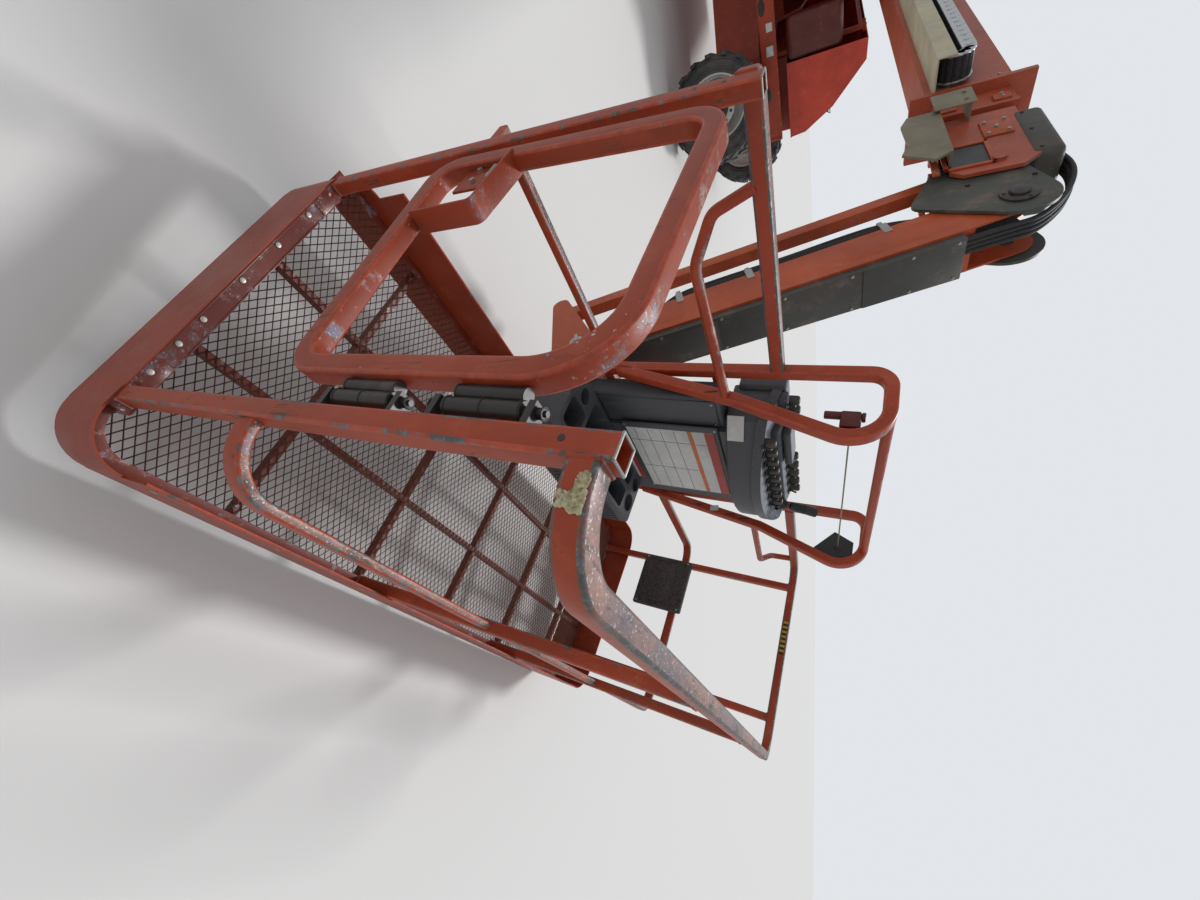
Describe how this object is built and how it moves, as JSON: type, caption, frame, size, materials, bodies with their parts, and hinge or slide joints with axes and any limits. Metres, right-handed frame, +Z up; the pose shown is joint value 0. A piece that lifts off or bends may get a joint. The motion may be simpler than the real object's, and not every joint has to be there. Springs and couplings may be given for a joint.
{
  "type": "telescopic boom lift",
  "caption": "Four-wheeled mobile work platform with a telescopic boom, a hanging jib, a railed platform with console, and a slewing turntable.",
  "frame": {"origin": "middle of the machine's plan, on the ground under the tyres", "axes": "+Z up, the boom points along -Y, +X to the right of someone looking from the platform to the turntable"},
  "size_m": [4.2324, 10.0891, 2.465],
  "materials": {
    "bare": "brushed",
    "chrome": "polished",
    "dark_steel": "satin",
    "hose": "brushed",
    "iron": "painted",
    "mesh": "worn",
    "orange": "satin",
    "plastic": "matt",
    "rim_paint": "satin",
    "tray": "satin",
    "tyre": "matt"
  },
  "bodies": {
    "chassis": {"chassis_frame": "dark_steel", "axle_front": "dark_steel", "axle_rear": "dark_steel", "steer_cylinder": "dark_steel", "swing_bearing": "dark_steel"},
    "steer_rod": {"tie_rod": "chrome"},
    "knuckle_left": {"knuckle_left": "dark_steel"},
    "knuckle_right": {"knuckle_right": "dark_steel"},
    "wheel_front_left": {"tyre_front_left": "tyre", "rim_front_left": "rim_paint"},
    "wheel_front_right": {"tyre_front_right": "tyre", "rim_front_right": "rim_paint"},
    "wheel_rear_left": {"tyre_rear_left": "tyre", "rim_rear_left": "rim_paint"},
    "wheel_rear_right": {"tyre_rear_right": "tyre", "rim_rear_right": "rim_paint"},
    "turntable": {"turntable_deck": "dark_steel", "counterweight": "iron", "turntable_uprights": "orange", "hood_hinges": "orange", "side_trays": "orange", "engine": "dark_steel", "oil_tank": "dark_steel", "ground_controls": "plastic"},
    "hood_left": {"hood_left": "orange"},
    "hood_right": {"hood_right": "orange"},
    "boom_base": {"boom_base": "orange", "track_tray": "tray", "hose_track": "hose"},
    "boom_mid": {"boom_mid": "orange"},
    "boom_fly": {"boom_fly": "orange", "track_bracket": "tray"},
    "lift_barrel": {"lift_barrel": "dark_steel"},
    "lift_rod": {"lift_rod": "chrome"},
    "head": {"head": "orange"},
    "jib_arm": {"jib_arm": "orange"},
    "jib_link": {"jib_link": "orange"},
    "jib_barrel": {"jib_barrel": "dark_steel"},
    "jib_rod": {"jib_rod": "chrome"},
    "support": {"platform_support": "orange"},
    "platform": {"toe_board": "orange", "floor_frame": "orange", "floor_mesh": "mesh", "gate_sill": "orange", "top_rails": "orange", "posts": "orange", "console_guard": "orange", "console": "plastic", "control_box": "plastic", "tool_tray": "plastic", "far_pad": "plastic", "gate_hinges": "bare", "platform_bracket": "orange"},
    "gate": {"gate": "orange", "gate_barrels": "bare"}
  },
  "joints": [
    {"name": "steer_left", "type": "hinge", "parent": "chassis", "child": "knuckle_left", "pos_m": [-1.48308, 2.52185, 0.5], "axis": [0, 0, 1], "range_deg": [-35, 35]},
    {"name": "steer_right", "type": "hinge", "parent": "chassis", "child": "knuckle_right", "pos_m": [-0.66556, 3.94356, 0.5], "axis": [0, 0, 1], "range_deg": [-35, 35]},
    {"name": "steer_rod_slide", "type": "slide", "parent": "chassis", "child": "steer_rod", "axis": [0.4985, 0.8669, 0], "range_m": [-0.1, 0.1]},
    {"name": "wheel_front_left_spin", "type": "hinge", "parent": "knuckle_left", "child": "wheel_front_left", "pos_m": [-1.60521, 2.30946, 0.5], "axis": [0.4985, 0.8669, 0], "continuous": true},
    {"name": "wheel_front_right_spin", "type": "hinge", "parent": "knuckle_right", "child": "wheel_front_right", "pos_m": [-0.54344, 4.15595, 0.5], "axis": [0.4985, 0.8669, 0], "continuous": true},
    {"name": "wheel_rear_left_spin", "type": "hinge", "parent": "chassis", "child": "wheel_rear_left", "pos_m": [0.54469, 1.07321, 0.5], "axis": [0.4985, 0.8669, 0], "continuous": true},
    {"name": "wheel_rear_right_spin", "type": "hinge", "parent": "chassis", "child": "wheel_rear_right", "pos_m": [1.60647, 2.9197, 0.5], "axis": [0.4985, 0.8669, 0], "continuous": true},
    {"name": "swing", "type": "hinge", "parent": "chassis", "child": "turntable", "pos_m": [0.00063, 2.61458, 1.0004], "axis": [0, 0, 1], "continuous": true},
    {"name": "hood_left_hinge", "type": "hinge", "parent": "turntable", "child": "hood_left", "pos_m": [-0.39037, 2.81458, 1.94], "axis": [0, 1, 0], "range_deg": [0, 60]},
    {"name": "hood_right_hinge", "type": "hinge", "parent": "turntable", "child": "hood_right", "pos_m": [0.39163, 2.81458, 1.94], "axis": [0, -1, 0], "range_deg": [0, 60]},
    {"name": "boom_lift", "type": "hinge", "parent": "turntable", "child": "boom_base", "pos_m": [0.00063, 4.06458, 2.15], "axis": [-1, 0, 0], "range_deg": [-5, 73]},
    {"name": "telescope_mid", "type": "slide", "parent": "boom_base", "child": "boom_mid", "axis": [0, -1, 0], "range_m": [0, 4.4]},
    {"name": "telescope_fly", "type": "slide", "parent": "boom_mid", "child": "boom_fly", "axis": [0, -1, 0], "range_m": [0, 4.4]},
    {"name": "lift_barrel_turn", "type": "hinge", "parent": "turntable", "child": "lift_barrel", "pos_m": [0.00063, 3.56458, 1.18], "axis": [-1, 0, 0], "range_deg": [-30, 70]},
    {"name": "lift_rod_slide", "type": "slide", "parent": "lift_barrel", "child": "lift_rod", "axis": [0, -0.8991, 0.4377], "range_m": [-0.15, 1.3]},
    {"name": "head_level", "type": "hinge", "parent": "boom_fly", "child": "head", "pos_m": [0.00063, -2.72542, 2.2], "axis": [-1, 0, 0], "range_deg": [-75, 7]},
    {"name": "jib_lift", "type": "hinge", "parent": "head", "child": "jib_arm", "pos_m": [0.00063, -2.98742, 2.22], "axis": [-1, 0, 0], "range_deg": [-2, 108]},
    {"name": "jib_link_turn", "type": "hinge", "parent": "head", "child": "jib_link", "pos_m": [-0.03737, -2.67642, 2.03], "axis": [-1, 0, 0], "range_deg": [-4, 112]},
    {"name": "support_level", "type": "hinge", "parent": "jib_arm", "child": "support", "pos_m": [0.00063, -3.56155, 0.51402], "axis": [-1, 0, 0], "range_deg": [-112, 4]},
    {"name": "jib_barrel_turn", "type": "hinge", "parent": "head", "child": "jib_barrel", "pos_m": [0.04463, -2.93069, 1.92541], "axis": [-1, 0, 0], "range_deg": [-10, 150]},
    {"name": "jib_rod_slide", "type": "slide", "parent": "jib_barrel", "child": "jib_rod", "axis": [0, -0.2533, -0.9674], "range_m": [-0.04, 0.56]},
    {"name": "platform_rotate", "type": "hinge", "parent": "support", "child": "platform", "pos_m": [0.00998, -3.74177, 0.54144], "axis": [0.0342, -0.1141, 0.9929], "range_deg": [-94.7, 85.3]},
    {"name": "gate_swing", "type": "hinge", "parent": "platform", "child": "gate", "pos_m": [-1.01347, -4.8305, 0.98042], "axis": [-0.0342, 0.1141, -0.9929], "range_deg": [0, 90]}
  ],
  "couplings": [
    {"joint": "steer_right", "follows": "steer_left", "ratio": 1},
    {"joint": "steer_rod_slide", "follows": "steer_left", "m_per_rad": -0.14084},
    {"joint": "telescope_fly", "follows": "telescope_mid", "ratio": 1},
    {"joint": "lift_barrel_turn", "follows": "boom_lift", "ratio": 0.79084},
    {"joint": "lift_rod_slide", "follows": "boom_lift", "m_per_rad": 0.91148},
    {"joint": "head_level", "follows": "boom_lift", "ratio": -1},
    {"joint": "jib_link_turn", "follows": "jib_lift", "ratio": 1},
    {"joint": "support_level", "follows": "jib_lift", "ratio": -1},
    {"joint": "jib_barrel_turn", "follows": "jib_lift", "ratio": 1.0398},
    {"joint": "jib_rod_slide", "follows": "jib_lift", "m_per_rad": 0.25502}
  ]
}
